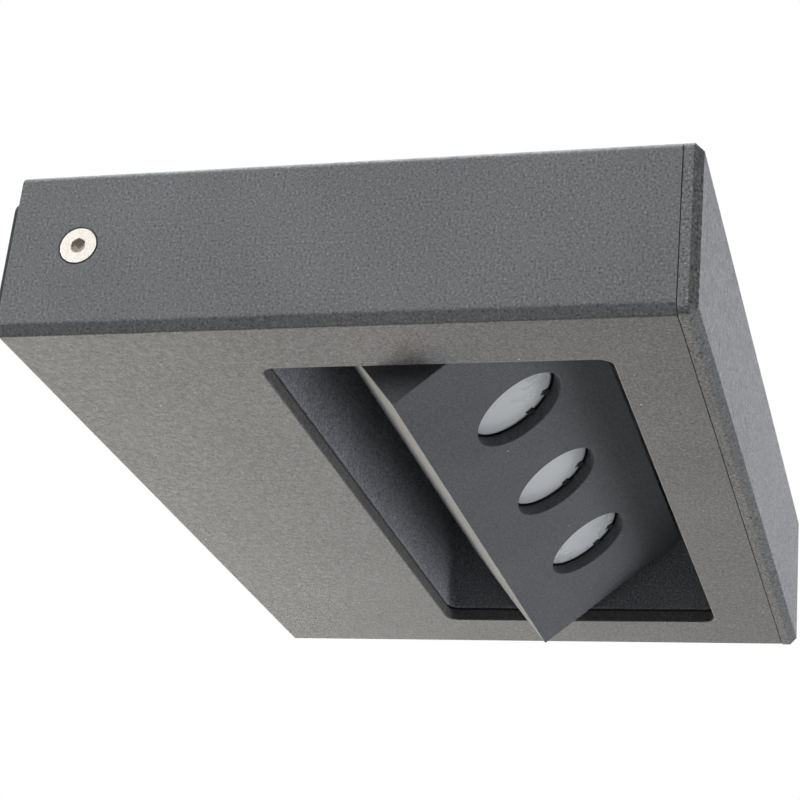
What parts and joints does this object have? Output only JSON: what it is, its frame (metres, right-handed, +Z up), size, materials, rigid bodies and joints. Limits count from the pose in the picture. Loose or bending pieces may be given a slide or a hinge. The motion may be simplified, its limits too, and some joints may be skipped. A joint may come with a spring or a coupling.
{
  "type": "wall lantern",
  "caption": "Flat box wall lantern with a long recess in its underside, in which a lamp head with round lenses tilts outwards.",
  "frame": {"origin": "centre of the face that meets the wall, at the body's mid-height", "axes": "+X along the body's length, +Y into the wall, +Z up; the front faces -Y"},
  "size_m": [0.2, 0.1408, 0.0432],
  "materials": {
    "body_coat": "fine textured anthracite powder coat on cast aluminium",
    "cover_coat": "fine textured anthracite powder coat",
    "tray_coat": "fine textured dark anthracite powder coat",
    "head_coat": "fine textured anthracite powder coat on cast aluminium",
    "foam": "matt soft foam rubber",
    "seal": "matt black",
    "zinc_sheet": "zinc plated sheet",
    "stainless": "satin stainless steel",
    "screw_zinc": "bright zinc plated",
    "washer": "matt black friction material",
    "spring_steel": "plain spring steel",
    "driver_shell": "matt dark grey",
    "circuit": "green solder mask with moulded parts",
    "terminal": "off-white moulded",
    "brass": "nickel free brass",
    "brown_core": "soft insulation",
    "blue_core": "soft insulation",
    "earth_core": "soft insulation, green and yellow",
    "black_lead": "soft black sheath",
    "red_core": "soft insulation",
    "sink": "plain extruded",
    "board": "white solder mask on an aluminium core",
    "led": "yellow phosphor under clear silicone",
    "holder": "matt black moulded",
    "lens": "frosted moulded optic"
  },
  "bodies": {
    "lantern": {"wall_gasket": "foam", "wall_bracket": "zinc_sheet", "bracket_nuts": "screw_zinc", "cable_grommet": "seal", "side_screws": "stainless", "housing": "body_coat", "front_cover": "cover_coat", "cover_seal": "seal", "cover_screws": "screw_zinc", "recess_tray": "tray_coat", "tray_seal": "seal", "tray_screws": "screw_zinc", "driver_case": "driver_shell", "driver_board": "circuit", "driver_lid": "driver_shell", "driver_screws": "screw_zinc", "terminal_block": "terminal", "terminal_screws": "brass", "terminal_mount_screw": "screw_zinc", "live_lead": "brown_core", "neutral_lead": "blue_core", "earth_lead": "earth_core", "earth_tag": "brass", "earth_screw": "brass", "head_lead": "black_lead", "pivot_bolt_left": "stainless", "pivot_bolt_right": "stainless", "friction_washers": "washer", "spring_washers": "spring_steel", "pivot_nuts": "stainless"},
    "head": {"head_body": "head_coat", "head_back": "head_coat", "head_seal": "seal", "head_screws": "screw_zinc", "heat_sink": "sink", "led_board": "board", "board_screws": "screw_zinc", "leds": "led", "lens_holder_1": "holder", "lens_holder_2": "holder", "lens_holder_3": "holder", "lens_seals": "seal", "lens_1": "lens", "lens_2": "lens", "lens_3": "lens", "board_lead": "red_core"}
  },
  "joints": [
    {"name": "head_tilt", "type": "hinge", "parent": "lantern", "child": "head", "pos_m": [0, -0.08605, 0], "axis": [1, 0, 0], "range_deg": [0, 40]}
  ]
}
